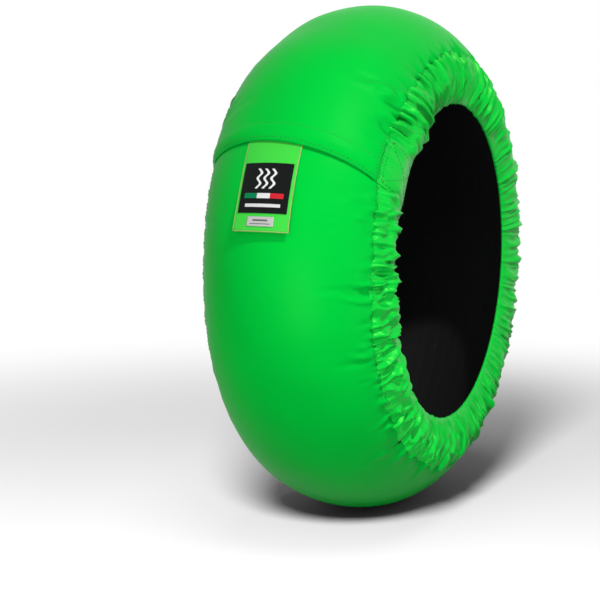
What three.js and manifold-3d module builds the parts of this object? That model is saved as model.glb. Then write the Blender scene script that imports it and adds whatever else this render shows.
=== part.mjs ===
// Motorcycle tyre warmer: a heated fabric sleeve, closed round a rear wheel of 17 inches.
// Millimetres, +Z up. The wheel's axle is the Y axis and the origin is the wheel's centre.
// Angles round the wheel are in degrees, from -X (where the closure is) up towards +Z.
import * as THREE from 'three';
import { mergeVertices } from 'three/addons/utils/BufferGeometryUtils.js';
import Module from 'manifold-3d';

const wasm = await Module();
wasm.setup();

// Outline of the cover when it is stretched over the tyre.
const coverRadius = 330;
const coverHalfWidth = 122;
const bellyRadius = 227;
const seamRadius = 266;
const openingRadius = 205;
const openingHalfWidth = 115;

// Thickness of each layer, and the gap that neighbouring layers keep.
const bandFabric = 1.2;
const curtainFabric = 0.8;
const feltThickness = 4;
const wireThickness = 2;
const liningThickness = 1;
const layerGap = 0.3;

// Closure: the band's outer end lies as a flap over its inner end.
const flapEdgeAngle = 29;
const stripThickness = 1.3;
const stripMargin = 2.5;
const stripSeamMargin = 20.9;
const innerLayersStart = 46.5;

// Flat panel of each curtain beside the flap, and the pleats of the rest.
const panelEndAngle = 38.5;
const pleatHeight = 4.2;
const puckerHeight = 1.6;
const lapWidth = 9.5;
const hemRunWidth = 32.8;
const edgePanelWidth = 32;
const liningEdgeClearance = 0.4;

// Elastic, sewn behind the edge of the opening.
const elasticWidth = 20;
const elasticThickness = 1.5;
const hemMargin = 4;
const hemScallop = 1.6;

// Label that hangs out from under the flap.
const labelLeft = -29.5;
const labelRight = 40.5;
const labelBottomAngle = 11;
const labelTuck = 1.5;
const labelThickness = 1;
const labelStandOff = 5;
const printThickness = 0.4;
const fieldBorder = 3.5;
const fieldTopAngle = 25.4;
const fieldBottomAngle = 14.7;
const tagWidth = 34;
const tagTopAngle = 14;
const tagBottomAngle = 12;

// Lead gland on the far side, and the parts of the heating circuit.
const glandStation = 15.5;
const glandRow = 7.3;
const flangeLength = 32;
const flangeWidth = 22;
const flangeThickness = 1.6;
const collarHeight = 13;
const collarBaseRadius = 8;
const collarTopRadius = 5.5;
const neckRadius = 5;
const leadBoreRadius = 3.5;
const plateLength = 28;
const plateWidth = 17;
const plateThickness = 1.5;
const rivetRadius = 1.3;
const rivetHeadRadius = 2.6;
const rivetHeadHeight = 0.9;
const rivetSpacing = 23;
const thermostatStation = 22.5;
const thermostatSize = { along: 20, across: 8, thick: 3.2 };
const spliceSize = { along: 7, across: 3.4, thick: 2.4 };
const tailSpacing = 7;

// Grid that every layer shares, so that they nest: stations go round the wheel, rows go across it.
const stationStep = 8;
const stationCount = 47;
const rowCount = 9;
const curtainSubdivision = 4;

const radians = THREE.MathUtils.degToRad;
const clamp = THREE.MathUtils.clamp;
const lerp = THREE.MathUtils.lerp;
const fullTurn = 360;

// A repeatable scatter between 0 and 1, for the irregular pleats.
function scatter(n) {
  const wave = Math.sin(n * 127.1 + 11.7) * 43758.5453;
  return wave - Math.floor(wave);
}

// A point of the outline's half ellipse, with its outward normal, at an angle from the crown.
function ellipsePoint(crownAngle) {
  const across = coverHalfWidth;
  const up = coverRadius - bellyRadius;
  const c = Math.cos(radians(crownAngle));
  const s = Math.sin(radians(crownAngle));
  const normal = new THREE.Vector2(c / up, s / across).normalize();
  return { r: bellyRadius + up * c, y: across * s, normal };
}

const seamAngle = THREE.MathUtils.radToDeg(
  Math.acos((seamRadius - bellyRadius) / (coverRadius - bellyRadius)),
);

// The outermost row of facets on each side has a fixed width, so that the gland always fits it.
function angleOverEdgePanel() {
  const across = coverHalfWidth * Math.cos(radians(seamAngle));
  const up = (coverRadius - bellyRadius) * Math.sin(radians(seamAngle));
  return THREE.MathUtils.radToDeg(edgePanelWidth / Math.hypot(across, up));
}

const lastRow = rowCount - 1;
const edgeStep = angleOverEdgePanel();
const middleStep = (2 * (seamAngle - edgeStep)) / (lastRow - 2);
function rowAngle(i) {
  if (i === 0) return -seamAngle;
  if (i === lastRow) return seamAngle;
  return (i - 1) * middleStep - (seamAngle - edgeStep);
}
const bandRows = Array.from({ length: rowCount }, (_, i) => ellipsePoint(rowAngle(i)));
const angleOfStation = (station) => flapEdgeAngle + station * stationStep;
const stationOfAngle = (angle) => (angle - flapEdgeAngle) / stationStep;
const underFlap = (angle) => stationOfAngle(angle + fullTurn);

// The row, as a fraction, where the band's section lies at this distance across.
function rowOfWidth(y) {
  const i = clamp(bandRows.findIndex((row) => row.y > y) - 1, 0, lastRow - 1);
  return i + (y - bandRows[i].y) / (bandRows[i + 1].y - bandRows[i].y);
}

function cylindrical(angle, r, y) {
  return new THREE.Vector3(-r * Math.cos(radians(angle)), y, r * Math.sin(radians(angle)));
}

// The flap is lifted by what lies under it, and comes down to the other layers past the overlap.
const flapLift = bandFabric + 3 * layerGap + 2 * stripThickness;
const flapStations = 3;
const rampStations = 2;
function liftAt(station) {
  return flapLift * clamp((flapStations + rampStations - station) / rampStations, 0, 1);
}

// Puckers pull the band in and out beside its seams, except at the closure and under the gland.
function puckerAt(station, row) {
  const rowsFromSeam = Math.min(row, lastRow - row);
  const closed = station <= flapStations || station >= stationCount - 3;
  const flat = row > lastRow / 2 && Math.abs(station - glandStation) < 2;
  if (rowsFromSeam > 1 || closed || flat) return 0;
  const share = rowsFromSeam === 0 ? 1 : 0.5;
  const side = row > lastRow / 2 ? 1 : 0;
  return puckerHeight * share * (2 * scatter(station * 3.3 + side) - 1);
}

function gridPoint(station, row, depth, lifted) {
  const { r, y, normal } = bandRows[row];
  const out = puckerAt(station, row) - depth + (lifted ? liftAt(station) : 0);
  return cylindrical(angleOfStation(station), r + normal.x * out, y + normal.y * out);
}

// A point of the faceted band at a depth below its outer face. Stations and rows may be fractions.
function bandPoint(station, row, depth, lifted = true) {
  const s = clamp(Math.floor(station), 0, stationCount - 1);
  const i = clamp(Math.floor(row), 0, lastRow - 1);
  const u = station - s;
  const v = row - i;
  const [first, third] = [gridPoint(s, i, depth, lifted), gridPoint(s + 1, i + 1, depth, lifted)];
  const second = v > u ? gridPoint(s, i + 1, depth, lifted) : gridPoint(s + 1, i, depth, lifted);
  const point = first.multiplyScalar(1 - Math.max(u, v));
  return point.addScaledVector(second, Math.abs(u - v)).addScaledVector(third, Math.min(u, v));
}

// A closed solid between an outer and an inner grid of points: grid[station][row].
function sheet(outer, inner) {
  const stations = outer.length;
  const rows = outer[0].length;
  const positions = [];
  for (const grid of [outer, inner]) {
    for (const line of grid) line.forEach((p) => positions.push(p.x, p.y, p.z));
  }
  const index = [];
  const out = (k, i) => k * rows + i;
  const back = (k, i) => (stations + k) * rows + i;
  const quad = (a, b, c, d) => index.push(a, b, c, a, c, d);
  for (let k = 0; k < stations - 1; k++) {
    for (let i = 0; i < rows - 1; i++) {
      quad(out(k, i), out(k + 1, i), out(k + 1, i + 1), out(k, i + 1));
      quad(back(k, i), back(k, i + 1), back(k + 1, i + 1), back(k + 1, i));
    }
    quad(back(k, 0), back(k + 1, 0), out(k + 1, 0), out(k, 0));
    quad(out(k, rows - 1), out(k + 1, rows - 1), back(k + 1, rows - 1), back(k, rows - 1));
  }
  const end = stations - 1;
  for (let i = 0; i < rows - 1; i++) {
    quad(back(0, i), out(0, i), out(0, i + 1), back(0, i + 1));
    quad(out(end, i), back(end, i), back(end, i + 1), out(end, i + 1));
  }
  const geometry = new THREE.BufferGeometry();
  geometry.setAttribute('position', new THREE.Float32BufferAttribute(positions, 3));
  geometry.setIndex(index);
  return geometry;
}

// A layer of the band between two stations. depthOf(row) gives the depth of its outer face.
function bandLayer(stations, rows, depthOf, thickness, lifted) {
  const face = (extra) =>
    stations.map((s) => rows.map((row) => bandPoint(s, row, depthOf(row, s) + extra, lifted)));
  return sheet(face(0), face(thickness));
}

const wholeSteps = (from, to) => Array.from({ length: to - from + 1 }, (_, k) => from + k);

// The stations or rows from one value to another, with each whole number between them.
function span(from, to) {
  const margin = 1e-6;
  const inside = wholeSteps(Math.ceil(from + margin), Math.floor(to - margin));
  return [from, ...inside, to];
}

const solidOf = (geometry) => {
  const bare = geometry.clone();
  bare.deleteAttribute('normal');
  bare.deleteAttribute('uv');
  const merged = mergeVertices(bare);
  return new wasm.Manifold(
    new wasm.Mesh({
      numProp: 3,
      vertProperties: merged.attributes.position.array,
      triVerts: new Uint32Array(merged.index.array),
    }),
  );
};

const geometryOf = (solid) => {
  const { vertProperties, triVerts } = solid.getMesh();
  const geometry = new THREE.BufferGeometry();
  geometry.setAttribute('position', new THREE.BufferAttribute(vertProperties, 3));
  geometry.setIndex(new THREE.BufferAttribute(triVerts, 1));
  return geometry;
};

// The frame of one facet of the band: x goes round the wheel, y goes across, z points out.
function facetFrame(station, row) {
  const centre = bandPoint(station, row, 0, false);
  const round = bandPoint(station + 0.1, row, 0, false).sub(centre).normalize();
  const across = bandPoint(station, row + 0.1, 0, false).sub(centre);
  const out = new THREE.Vector3().crossVectors(round, across).normalize();
  across.crossVectors(out, round);
  return new THREE.Matrix4().makeBasis(round, across, out).setPosition(centre);
}

// A box on a facet, from z = low to z = high.
function facetBox(length, width, low, high, frame) {
  const box = new THREE.BoxGeometry(length, width, high - low);
  return box.translate(0, 0, (low + high) / 2).applyMatrix4(frame);
}

// A round bar on a facet, from z = low to z = high.
function facetBar(radius, low, high, frame, x = 0) {
  const bar = new THREE.CylinderGeometry(radius, radius, high - low, 12);
  return bar.rotateX(Math.PI / 2).translate(x, 0, (low + high) / 2).applyMatrix4(frame);
}

const material = (color, roughness, metalness = 0) =>
  new THREE.MeshStandardMaterial({ color, roughness, metalness });
const greenNylon = material(0x12c74a, 0.5);
const labelNylon = material(0x3fd04d, 0.45);
const blackPrint = material(0x101114, 0.5);
const greyPrint = material(0xc9c9c4, 0.6);
const blackLining = material(0x17181a, 0.85);
const whiteFelt = material(0xd8d4c8, 0.95);
const wireSleeve = material(0xb5532a, 0.6);
const greenTape = material(0x0f9f3c, 0.8);
const whiteElastic = material(0xe6e6e2, 0.8);
const blackRubber = material(0x1b1b1d, 0.7);
const plainSteel = material(0xb8bcc0, 0.35, 1);

const warmer = new THREE.Group();
function add(name, geometry, finish) {
  const mesh = new THREE.Mesh(geometry, finish);
  mesh.name = name;
  warmer.add(mesh);
}

const glandFrame = facetFrame(glandStation, glandRow);
const rivetPlaces = [-rivetSpacing / 2, rivetSpacing / 2];

// Holes through the band for the gland's neck and rivets.
function glandHoles(reach) {
  const neck = solidOf(facetBar(neckRadius + layerGap, -reach, reach, glandFrame));
  const bars = rivetPlaces.map((x) =>
    solidOf(facetBar(rivetRadius + layerGap, -reach, reach, glandFrame, x)),
  );
  return bars.reduce((all, bar) => all.add(bar), neck);
}

function addBand() {
  const stations = wholeSteps(0, stationCount);
  const rows = wholeSteps(0, lastRow);
  const shell = bandLayer(stations, rows, () => 0, bandFabric, true);
  const drilled = solidOf(shell).subtract(glandHoles(plateThickness + bandFabric));
  add('outer_shell', geometryOf(drilled), greenNylon);
}

// Depths of the layers inside the band. The lining comes up to the curtain's edge at each seam.
const feltDepth = bandFabric + layerGap;
const slotDepth = feltDepth + feltThickness;
const liningDepth = slotDepth + wireThickness + 2 * layerGap;
const liningEdgeDepth = bandFabric + curtainFabric + 2 * layerGap + liningEdgeClearance;
function liningDepthOf(row) {
  const fromSeam = Math.min(row, lastRow - row);
  return lerp(liningEdgeDepth, liningDepth, clamp(fromSeam, 0, 1));
}

const innerStations = [stationOfAngle(innerLayersStart), ...wholeSteps(3, stationCount)];
const laneRows = [2.5, 3.5, 4.5, 5.5];

function addFelt() {
  const felt = bandLayer(innerStations, wholeSteps(1, lastRow - 1), () => feltDepth, feltThickness, false);
  const frame = facetFrame(thermostatStation, laneRows[2]);
  const { along, across } = thermostatSize;
  const room = 2 * layerGap + 1;
  const window = facetBox(along + room, across + room, -2 * slotDepth, slotDepth, frame);
  add('insulation_felt', geometryOf(solidOf(felt).subtract(solidOf(window))), whiteFelt);
}

function addLining() {
  const rows = wholeSteps(0, lastRow);
  add('inner_lining', bandLayer(innerStations, rows, liningDepthOf, liningThickness, false), blackLining);
}

// A wire of square section through places [station, row] of the slot between felt and lining.
function wireAlong(places) {
  const half = wireThickness / 2;
  const centres = places.map(([s, row]) =>
    bandPoint(s, row, liningDepthOf(row) - layerGap - half, false),
  );
  const outer = [];
  const inner = [];
  centres.forEach((centre, k) => {
    const before = centres[Math.max(k - 1, 0)];
    const after = centres[Math.min(k + 1, centres.length - 1)];
    const [s, row] = places[k];
    const normal = bandPoint(s, row, 0, false).sub(bandPoint(s, row, 1, false)).normalize();
    const forward = after.clone().sub(before).normalize();
    const side = new THREE.Vector3().crossVectors(normal, forward).normalize();
    const corner = (a, b) => centre.clone().addScaledVector(side, a * half).addScaledVector(normal, b * half);
    outer.push([corner(-1, 1), corner(1, 1)]);
    inner.push([corner(-1, -1), corner(1, -1)]);
  });
  return sheet(outer, inner);
}

// The heating circuit: four lanes round the band, from the gland and back to it, in series with
// a thermostat in the third lane.
const laneStart = 3;
const laneEnd = 45.3;
const turnReach = 0.35;
const tailEnd = 7.02;
function lane(row, from, to) {
  const inside = span(Math.min(from, to), Math.max(from, to)).map((s) => [s, row]);
  return from < to ? inside : inside.reverse();
}

function turn(station, rowFrom, rowTo, direction) {
  const middle = (rowFrom + rowTo) / 2;
  const quarter = (rowTo - rowFrom) / 4;
  const rows = [middle - quarter, middle, middle + quarter];
  return rows.map((row) => [station + direction * turnReach, row]);
}

function addHeatingCircuit() {
  const [first, second, third, fourth] = laneRows;
  const facetLength = 2 * coverRadius * Math.sin(radians(stationStep / 2));
  const tail = tailSpacing / 2 / facetLength;
  const halfThermostat = (thermostatSize.along / 2 + 2 * layerGap) / facetLength;
  const across = (station, rows) => rows.map((row) => [station, row]);
  const tailRows = span(fourth + 0.15, tailEnd);
  const inward = [
    ...across(glandStation - tail, [...tailRows].reverse()),
    [glandStation - tail - 0.1, fourth],
    ...lane(fourth, glandStation - tail - 0.3, laneStart),
    ...turn(laneStart, fourth, third, -1),
    ...lane(third, laneStart, thermostatStation - halfThermostat),
  ];
  const outward = [
    ...lane(third, thermostatStation + halfThermostat, laneEnd),
    ...turn(laneEnd, third, second, 1),
    ...lane(second, laneEnd, laneStart),
    ...turn(laneStart, second, first, -1),
    ...lane(first, laneStart, laneEnd + 2 * turnReach),
    ...across(laneEnd + 1.2, span(first + 0.2, fourth - 0.2)),
    ...lane(fourth, laneEnd + 2 * turnReach, glandStation + tail + 0.3),
    [glandStation + tail + 0.1, fourth],
    ...across(glandStation + tail, tailRows),
  ];
  add('heating_wire_in', wireAlong(inward), wireSleeve);
  add('heating_wire_out', wireAlong(outward), wireSleeve);

  const body = thermostatSize;
  const bottom = -liningDepth + layerGap;
  const frame = facetFrame(thermostatStation, third);
  const block = facetBox(body.along, body.across, bottom, bottom + body.thick, frame);
  add('thermostat', block, blackRubber);

  [-1, 1].forEach((side, n) => {
    const station = glandStation + side * tail;
    const step = 1 / facetLength;
    const rowLength = bandPoint(station, 7, 0, false).distanceTo(bandPoint(station, lastRow, 0, false));
    const from = tailEnd + layerGap / rowLength;
    const rows = [from, from + spliceSize.along / rowLength];
    const stations = [station - (step * spliceSize.across) / 2, station + (step * spliceSize.across) / 2];
    const depth = (row) => liningDepthOf(row) - layerGap - spliceSize.thick;
    add(`wire_splice_${n + 1}`, bandLayer(stations, rows, depth, spliceSize.thick, false), plainSteel);
  });
}

// Hook and loop strips across the tread, on the flap's underside and on the band's inner end.
function addTreadStrips() {
  const margin = stripMargin / stationStep;
  const stripHalfWidth = bandRows[lastRow].y - stripSeamMargin;
  const rows = span(rowOfWidth(-stripHalfWidth), rowOfWidth(stripHalfWidth));
  const overlap = stationCount - fullTurn / stationStep;
  const hookStations = span(margin, overlap - margin / 3);
  const loopStations = hookStations.map((s) => s + fullTurn / stationStep);
  const hookDepth = bandFabric + layerGap;
  const loopDepth = -layerGap - stripThickness;
  add('tread_hook_strip', bandLayer(hookStations, rows, () => hookDepth, stripThickness, true), greenTape);
  add('tread_loop_strip', bandLayer(loopStations, rows, () => loopDepth, stripThickness, true), greenTape);
}

// The curtain's section: a lap under the band's edge, a shoulder, and a straight run to its hem.
const lapDepth = bandFabric + layerGap;
const shoulder = ellipsePoint(
  THREE.MathUtils.radToDeg(Math.acos((openingRadius + hemRunWidth - bellyRadius) / (coverRadius - bellyRadius))),
);
const hemRun = new THREE.Vector2(openingRadius - shoulder.r, openingHalfWidth - shoulder.y);
const hemNormal = new THREE.Vector2(hemRun.y, -hemRun.x).normalize();
const lapRows = lapWidth / edgePanelWidth;
const curtainRows = [
  null,
  { r: shoulder.r, y: shoulder.y, pleat: 1, scallop: 0 },
  { r: openingRadius, y: openingHalfWidth, pleat: 0.75, scallop: hemScallop / pleatHeight },
];

// Height of the pleats at a fine station: nothing at the closure, and most beside it.
function pleatAt(fineStation) {
  const angle = angleOfStation(fineStation / curtainSubdivision);
  const lowerEnd = fullTurn + flapEdgeAngle;
  const open = clamp((angle - panelEndAngle) / 3, 0, 1) * clamp((lowerEnd - 1.5 - angle) / 3, 0, 1);
  const beside = Math.exp(-Math.pow((angle - panelEndAngle - 6) / 9, 2));
  const below = Math.exp(-Math.pow((lowerEnd - 9 - angle) / 8, 2));
  const ridge = fineStation % 2 === 1;
  const share = ridge ? 0.55 + 0.45 * scatter(fineStation) : 0.25 * scatter(fineStation);
  return pleatHeight * (1 + 0.7 * (beside + below)) * open * share;
}

// A curtain beside the band: a fraction of a row in from the seam, or past it when negative.
function lapPoint(station, rowsIn, depth, side) {
  return bandPoint(station, side > 0 ? lastRow - rowsIn : rowsIn, lapDepth + depth);
}

// A point of a curtain. Row 0 is just past the seam, row 1 the shoulder and row 2 the hem.
// side is -1 on the left of the wheel and 1 on its right.
function curtainPoint(station, row, depth, side, pleat = 0) {
  const lift = lerp(liftAt(Math.floor(station)), liftAt(Math.floor(station) + 1), station % 1);
  const at = (i) => {
    if (i === 0) return lapPoint(station, -lapRows / 2, depth, side);
    const one = curtainRows[i];
    const out = lift - depth + pleat * one.pleat;
    const r = one.r + hemNormal.x * out - pleat * one.scallop;
    return cylindrical(angleOfStation(station), r, side * (one.y + hemNormal.y * out));
  };
  const i = clamp(Math.floor(row), 0, curtainRows.length - 2);
  return at(i).lerp(at(i + 1), row - i);
}

// Rows run from -Y to +Y on every sheet, so the left side's rows go the other way round.
const ordered = (rows, side) => (side > 0 ? rows : [...rows].reverse());

function curtainPiece(stations, rows, depth, thickness, side) {
  const face = (d) =>
    stations.map((s) => ordered(rows.map((row) => curtainPoint(s, row, d, side)), side));
  return sheet(face(depth), face(depth + thickness));
}

function addCurtain(side, name) {
  const face = (depth) =>
    Array.from({ length: stationCount * curtainSubdivision + 1 }, (_, fine) => {
      const station = fine / curtainSubdivision;
      const points = [lapPoint(station, lapRows, depth, side)];
      curtainRows.forEach((_, i) => points.push(curtainPoint(station, i, depth, side, pleatAt(fine))));
      return ordered(points, side);
    });
  add(`${name}_curtain`, sheet(face(0), face(curtainFabric)), greenNylon);

  // The elastic lies behind the hem.
  const hemLength = hemRun.length();
  const hemRow = (distance) => curtainRows.length - 1 - distance / hemLength;
  const stations = wholeSteps(0, stationCount);
  const elasticDepth = curtainFabric + layerGap;
  const elasticRows = [hemRow(hemMargin + elasticWidth), hemRow(hemMargin)];
  const elastic = curtainPiece(stations, elasticRows, elasticDepth, elasticThickness, side);
  add(`${name}_elastic`, elastic, whiteElastic);

  // Hook and loop patches between the flap's flat panel and the curtain's inner end.
  const margin = 0.25;
  const overlap = stationCount - fullTurn / stationStep;
  const hookStations = span(margin, overlap - margin);
  const loopStations = hookStations.map((s) => s + fullTurn / stationStep);
  const rows = [0.25, 1, elasticRows[0] - 0.06];
  const hookDepth = curtainFabric + layerGap;
  const loopDepth = -layerGap - stripThickness;
  add(`${name}_hook_patch`, curtainPiece(hookStations, rows, hookDepth, stripThickness, side), greenTape);
  add(`${name}_loop_patch`, curtainPiece(loopStations, rows, loopDepth, stripThickness, side), greenTape);
}

// How far the label's back stands off the band, which grows towards its free end.
function standOffAt(station) {
  const top = underFlap(flapEdgeAngle);
  const bottom = underFlap(labelBottomAngle);
  const share = clamp((top - station) / (top - bottom), 0, 1);
  return layerGap + labelStandOff * share * share;
}

// A flat piece on the label, between two angles and two distances across.
function labelPiece(angles, widths, height, thickness) {
  const stations = span(underFlap(angles[0]), underFlap(angles[1]));
  const rows = span(rowOfWidth(widths[0]), rowOfWidth(widths[1]));
  const depth = (row, station) => -(standOffAt(station) + height + thickness);
  return bandLayer(stations, rows, depth, thickness, true);
}

function addLabel() {
  const tab = [labelLeft, labelRight];
  const field = [labelLeft + fieldBorder, labelRight - fieldBorder];
  const middle = (labelLeft + labelRight) / 2;
  const tag = [middle - tagWidth / 2, middle + tagWidth / 2];
  const onTab = labelThickness + layerGap;
  const top = flapEdgeAngle + labelTuck;
  add('label_tab', labelPiece([labelBottomAngle, top], tab, 0, labelThickness), labelNylon);
  add('label_field', labelPiece([fieldBottomAngle, fieldTopAngle], field, onTab, printThickness), blackPrint);
  add('label_tag', labelPiece([tagBottomAngle, tagTopAngle], tag, onTab, printThickness), greyPrint);
}

// A plate with round ends, for the gland's flange and the plate behind the fabric.
function roundEndedPlate(length, width, low, thickness) {
  const radius = width / 2;
  const straight = length / 2 - radius;
  const shape = new THREE.Shape();
  shape.absarc(straight, 0, radius, -Math.PI / 2, Math.PI / 2, false);
  shape.absarc(-straight, 0, radius, Math.PI / 2, (3 * Math.PI) / 2, false);
  const plate = new THREE.ExtrudeGeometry(shape, { depth: thickness, bevelEnabled: false, curveSegments: 6 });
  return plate.translate(0, 0, low).applyMatrix4(glandFrame);
}

function addGland() {
  const flangeLow = layerGap;
  const flangeTop = flangeLow + flangeThickness;
  const plateLow = -bandFabric - layerGap - plateThickness;
  const neckEnd = plateLow - layerGap;
  const profile = [
    [leadBoreRadius, neckEnd],
    [neckRadius, neckEnd],
    [neckRadius, flangeLow + flangeThickness / 2],
    [collarBaseRadius, flangeLow + flangeThickness / 2],
    [collarBaseRadius, flangeTop + 1],
    [collarTopRadius, flangeTop + collarHeight],
    [leadBoreRadius, flangeTop + collarHeight],
    [leadBoreRadius, neckEnd],
  ].map(([r, z]) => new THREE.Vector2(r, z));
  const collar = new THREE.LatheGeometry(profile, 12).rotateX(Math.PI / 2).applyMatrix4(glandFrame);
  const innerWall = (leadBoreRadius + neckRadius) / 2;
  const bore = solidOf(facetBar(innerWall, plateLow, 2 * collarHeight, glandFrame));
  const rivetHoles = rivetPlaces.map((x) =>
    solidOf(facetBar(rivetRadius + layerGap, plateLow - 1, flangeTop + 1, glandFrame, x)),
  );
  const flange = solidOf(roundEndedPlate(flangeLength, flangeWidth, flangeLow, flangeThickness)).subtract(bore);
  const gland = rivetHoles.reduce((solid, hole) => solid.subtract(hole), flange.add(solidOf(collar)));
  add('lead_gland', geometryOf(gland), blackRubber);

  const neckHole = solidOf(facetBar(neckRadius + layerGap, neckEnd, flangeTop, glandFrame));
  const plate = solidOf(roundEndedPlate(plateLength, plateWidth, plateLow, plateThickness)).subtract(neckHole);
  const drilled = rivetHoles.reduce((solid, hole) => solid.subtract(hole), plate);
  add('gland_backing_plate', geometryOf(drilled), blackRubber);

  rivetPlaces.forEach((x, n) => {
    const low = plateLow - layerGap;
    const high = flangeTop + layerGap;
    const rivet = [
      [0, low - rivetHeadHeight],
      [rivetHeadRadius, low - rivetHeadHeight],
      [rivetHeadRadius, low],
      [rivetRadius, low],
      [rivetRadius, high],
      [rivetHeadRadius, high],
      [rivetHeadRadius * 0.7, high + rivetHeadHeight],
      [0, high + rivetHeadHeight],
    ].map(([r, z]) => new THREE.Vector2(r, z));
    const turned = new THREE.LatheGeometry(rivet, 8).rotateX(Math.PI / 2).translate(x, 0, 0);
    add(`gland_rivet_${n + 1}`, turned.applyMatrix4(glandFrame), plainSteel);
  });
}

addBand();
addFelt();
addLining();
addHeatingCircuit();
addTreadStrips();
addCurtain(-1, 'left');
addCurtain(1, 'right');
addLabel();
addGland();

export default warmer;
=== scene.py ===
import math
import bmesh
import bpy
from bpy.props import FloatProperty, FloatVectorProperty, IntProperty, PointerProperty
from mathutils import Matrix, Vector, noise


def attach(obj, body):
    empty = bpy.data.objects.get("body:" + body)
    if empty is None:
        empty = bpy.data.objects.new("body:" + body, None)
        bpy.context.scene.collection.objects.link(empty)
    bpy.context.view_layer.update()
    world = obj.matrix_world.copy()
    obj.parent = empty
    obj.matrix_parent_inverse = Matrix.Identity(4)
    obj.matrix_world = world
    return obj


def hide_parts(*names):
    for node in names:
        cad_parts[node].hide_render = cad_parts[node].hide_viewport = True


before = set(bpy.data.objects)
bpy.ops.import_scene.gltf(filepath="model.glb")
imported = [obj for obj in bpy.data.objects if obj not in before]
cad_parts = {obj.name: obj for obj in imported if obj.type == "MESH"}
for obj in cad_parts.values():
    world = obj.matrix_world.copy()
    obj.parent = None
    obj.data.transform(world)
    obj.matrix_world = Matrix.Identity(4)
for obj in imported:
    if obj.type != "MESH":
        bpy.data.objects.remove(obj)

bl_info = {
    "name": "Motorcycle Tyre Warmer",
    "version": (1, 0, 0),
    "blender": (4, 5, 0),
    "location": "View3D > Sidebar > Tyre Warmer",
    "description": "Builds the cloth, label, stitching and studio of a motorcycle tyre warmer",
    "category": "Object",
}

BODY = "root"
MM = 0.001
FULL_TURN = 360.0

# Closure, in degrees round the wheel from the edge of the flap
OVERLAP = 16.0
LIFT_HOLDS = 24.0
LIFT_ENDS = 40.0
HEM_SPAN = 4.4
STITCH_INSET = 0.9
PANEL_END = 9.6
FOLDS_ABOVE = 17.0

# How far the flap stands off the layer under it, at its middle, at its edge and over the label
FLAP_LIFT = 4.7 * MM
EDGE_LIFT = 1.5 * MM
LABEL_LIFT = 1.3 * MM

# Rise, tilt and bow of the flap's edge, in degrees, and the share that each row of a curtain adds
EDGE_RISE = 1.2
EDGE_TILT = 1.7
EDGE_BOW = -2.7
ROW_SLANT = 0.18

# The opening is wider beside the closure
OPENING_PULL = 5.0 * MM
PULL_CENTRE = 12.0
PULL_WIDTH = 14.0

# The seams lie nearer to the tread beside the closure
SEAM_SHIFT = math.radians(6.0)
SHIFT_CENTRE = 4.0
SHIFT_WIDTH = 9.0

# Gathers: the middle of the far side, and how much of the crumples and of the right side's folds remain
FAR_SIDE = 190.0
FAR_WIDTH = 60.0
CRUMPLE_LEAST = 0.5
RIGHT_SHARE = 0.15
RIGHT_PUCKERS = 0.3
SCALLOP_SHARE = 0.10
SCALLOP_MOST = 1.1

# Thickness of each cloth and the depth of each layer below the outer face
BAND_THICKNESS = 1.2 * MM
CURTAIN_THICKNESS = 0.8 * MM
FELT_DEPTH = 1.5 * MM
FELT_THICKNESS = 4.0 * MM
LINING_DEPTH = 8.1 * MM
LINING_EDGE_DEPTH = 3.0 * MM
LINING_THICKNESS = 1.0 * MM
TAPE_THICKNESS = 1.3 * MM
ELASTIC_THICKNESS = 1.5 * MM
LAYER_GAP = 0.3 * MM

# Sewing
SEAM_STITCHES = 0.965
STITCH_PITCH = 5.2 * MM
STITCH_LENGTH = 3.7 * MM
STITCH_WIDTH = 0.9 * MM

# The row of a curtain's section at its seam, at its hem's edge and behind the hem
SEAM_ROW = 1.0
HEM_ROW = 7.0
LAST_ROW = 10.0
ROW_STEP = 0.05

# Floor and surroundings
WHITE = (1.0, 1.0, 1.0, 1.0)
FLOOR_GAP = 1.5 * MM
SHADOW_ENDS = 0.55
FLOOR_ENDS = 1.55
FILL_LIGHT = 0.14

# Camera
CAMERA_BEARING = -65.4
CAMERA_RISE = 7.7
CAMERA_DISTANCE = 2.614
CAMERA_SIDE = -0.0939
CAMERA_LIFT = -0.0568
CAMERA_LENS = 118.4


class WarmerSizes(bpy.types.PropertyGroup):
    """Sizes of the cover as it sits on the tyre."""
    radius: FloatProperty(
        name="Radius", description="Outer radius over the tread", default=0.330, unit="LENGTH")
    half_width: FloatProperty(
        name="Half width", description="Half of the width over the sidewalls", default=0.122,
        unit="LENGTH")
    belly_radius: FloatProperty(
        name="Belly radius", description="Radius at which the cover is widest", default=0.227,
        unit="LENGTH")
    seam_angle: FloatProperty(
        name="Seam angle", description="Angle of the side seams round the tyre section",
        default=math.radians(67.74), subtype="ANGLE")
    opening_radius: FloatProperty(
        name="Opening radius", description="Radius of the gathered opening", default=0.205, unit="LENGTH")
    flap_edge: FloatProperty(
        name="Flap edge", description="Degrees above the level at which the flap ends", default=29.0)
    pleats: IntProperty(
        name="Pleats", description="Pleats in one full turn of a hem", default=132, min=12)
    pleat_height: FloatProperty(
        name="Pleat height", description="Usual height of a pleat", default=0.0092, unit="LENGTH")
    pucker_height: FloatProperty(
        name="Pucker height", description="Height of the puckers beside a seam", default=0.0086,
        unit="LENGTH")


def colour_property(label, about, value):
    """A colour that the user can change."""
    return FloatVectorProperty(
        name=label, description=about, default=value, size=3, min=0.0, max=1.0, subtype="COLOR")


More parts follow.
